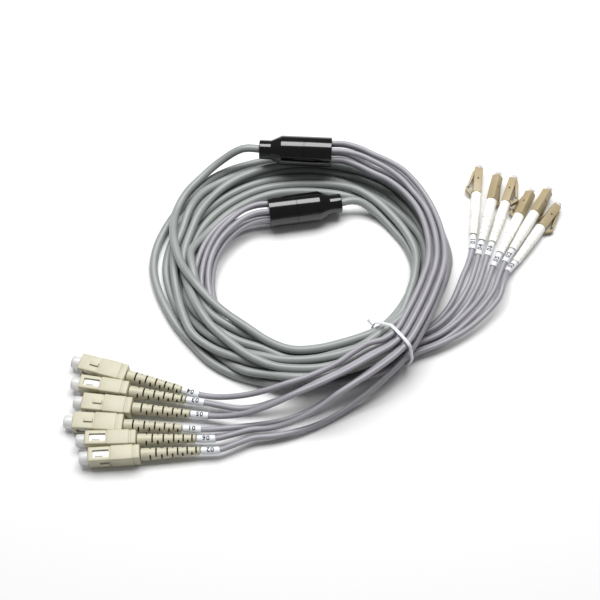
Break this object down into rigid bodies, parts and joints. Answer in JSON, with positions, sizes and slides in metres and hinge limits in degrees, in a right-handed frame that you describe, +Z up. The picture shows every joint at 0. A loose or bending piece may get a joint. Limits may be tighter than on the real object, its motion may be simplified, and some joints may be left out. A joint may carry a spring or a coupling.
{
  "type": "fibre breakout cable",
  "caption": "Pre-made fibre cable wound in a loose coil, with a round splitter housing at each end that fans out into legs with square or small latching plugs under dust caps.",
  "frame": {"origin": "Middle of the bounding box in plan, on the floor the coil lies on", "axes": "+Z up from the floor. +X runs along the longest side, from the square plugs to the latching plugs. +Y points away from the square plugs' side of the coil, to the upper splitter."},
  "size_m": [0.2626, 0.1929, 0.0255],
  "materials": {
    "trunk_sheath": "satin greenish grey sheath",
    "leg_sheath": "satin lilac grey sheath",
    "black_anodised": "gloss black anodised, turned",
    "sc_cream": "satin cream",
    "plug_white": "satin white",
    "lc_khaki": "satin khaki beige",
    "boot_white": "soft warm white",
    "clear_cap": "translucent, frosted",
    "tie_white": "white, matt"
  },
  "bodies": {
    "root": {"trunk_cable": "trunk_sheath", "upper_splitter_body": "black_anodised", "upper_splitter_rear_cap": "black_anodised", "upper_leg_1": "leg_sheath", "upper_leg_2": "leg_sheath", "upper_leg_3": "leg_sheath", "upper_leg_4": "leg_sheath", "upper_leg_5": "leg_sheath", "upper_leg_6": "leg_sheath", "lower_splitter_body": "black_anodised", "lower_splitter_rear_cap": "black_anodised", "lower_leg_1": "leg_sheath", "lower_leg_2": "leg_sheath", "lower_leg_3": "leg_sheath", "lower_leg_4": "leg_sheath", "lower_leg_5": "leg_sheath", "lower_leg_6": "leg_sheath", "sc_1_housing": "sc_cream", "sc_1_plug_body": "plug_white", "sc_1_dust_cap": "clear_cap", "sc_1_boot": "sc_cream", "lc_1_housing": "lc_khaki", "lc_1_dust_cap": "clear_cap", "lc_1_boot": "boot_white", "sc_2_housing": "sc_cream", "sc_2_plug_body": "plug_white", "sc_2_dust_cap": "clear_cap", "sc_2_boot": "sc_cream", "lc_2_housing": "lc_khaki", "lc_2_dust_cap": "clear_cap", "lc_2_boot": "boot_white", "sc_3_housing": "sc_cream", "sc_3_plug_body": "plug_white", "sc_3_dust_cap": "clear_cap", "sc_3_boot": "sc_cream", "lc_3_housing": "lc_khaki", "lc_3_dust_cap": "clear_cap", "lc_3_boot": "boot_white", "sc_4_housing": "sc_cream", "sc_4_plug_body": "plug_white", "sc_4_dust_cap": "clear_cap", "sc_4_boot": "sc_cream", "lc_4_housing": "lc_khaki", "lc_4_dust_cap": "clear_cap", "lc_4_boot": "boot_white", "sc_5_housing": "sc_cream", "sc_5_plug_body": "plug_white", "sc_5_dust_cap": "clear_cap", "sc_5_boot": "sc_cream", "lc_5_housing": "lc_khaki", "lc_5_dust_cap": "clear_cap", "lc_5_boot": "boot_white", "sc_6_housing": "sc_cream", "sc_6_plug_body": "plug_white", "sc_6_dust_cap": "clear_cap", "sc_6_boot": "sc_cream", "lc_6_housing": "lc_khaki", "lc_6_dust_cap": "clear_cap", "lc_6_boot": "boot_white", "wire_tie": "tie_white"}
  },
  "joints": []
}
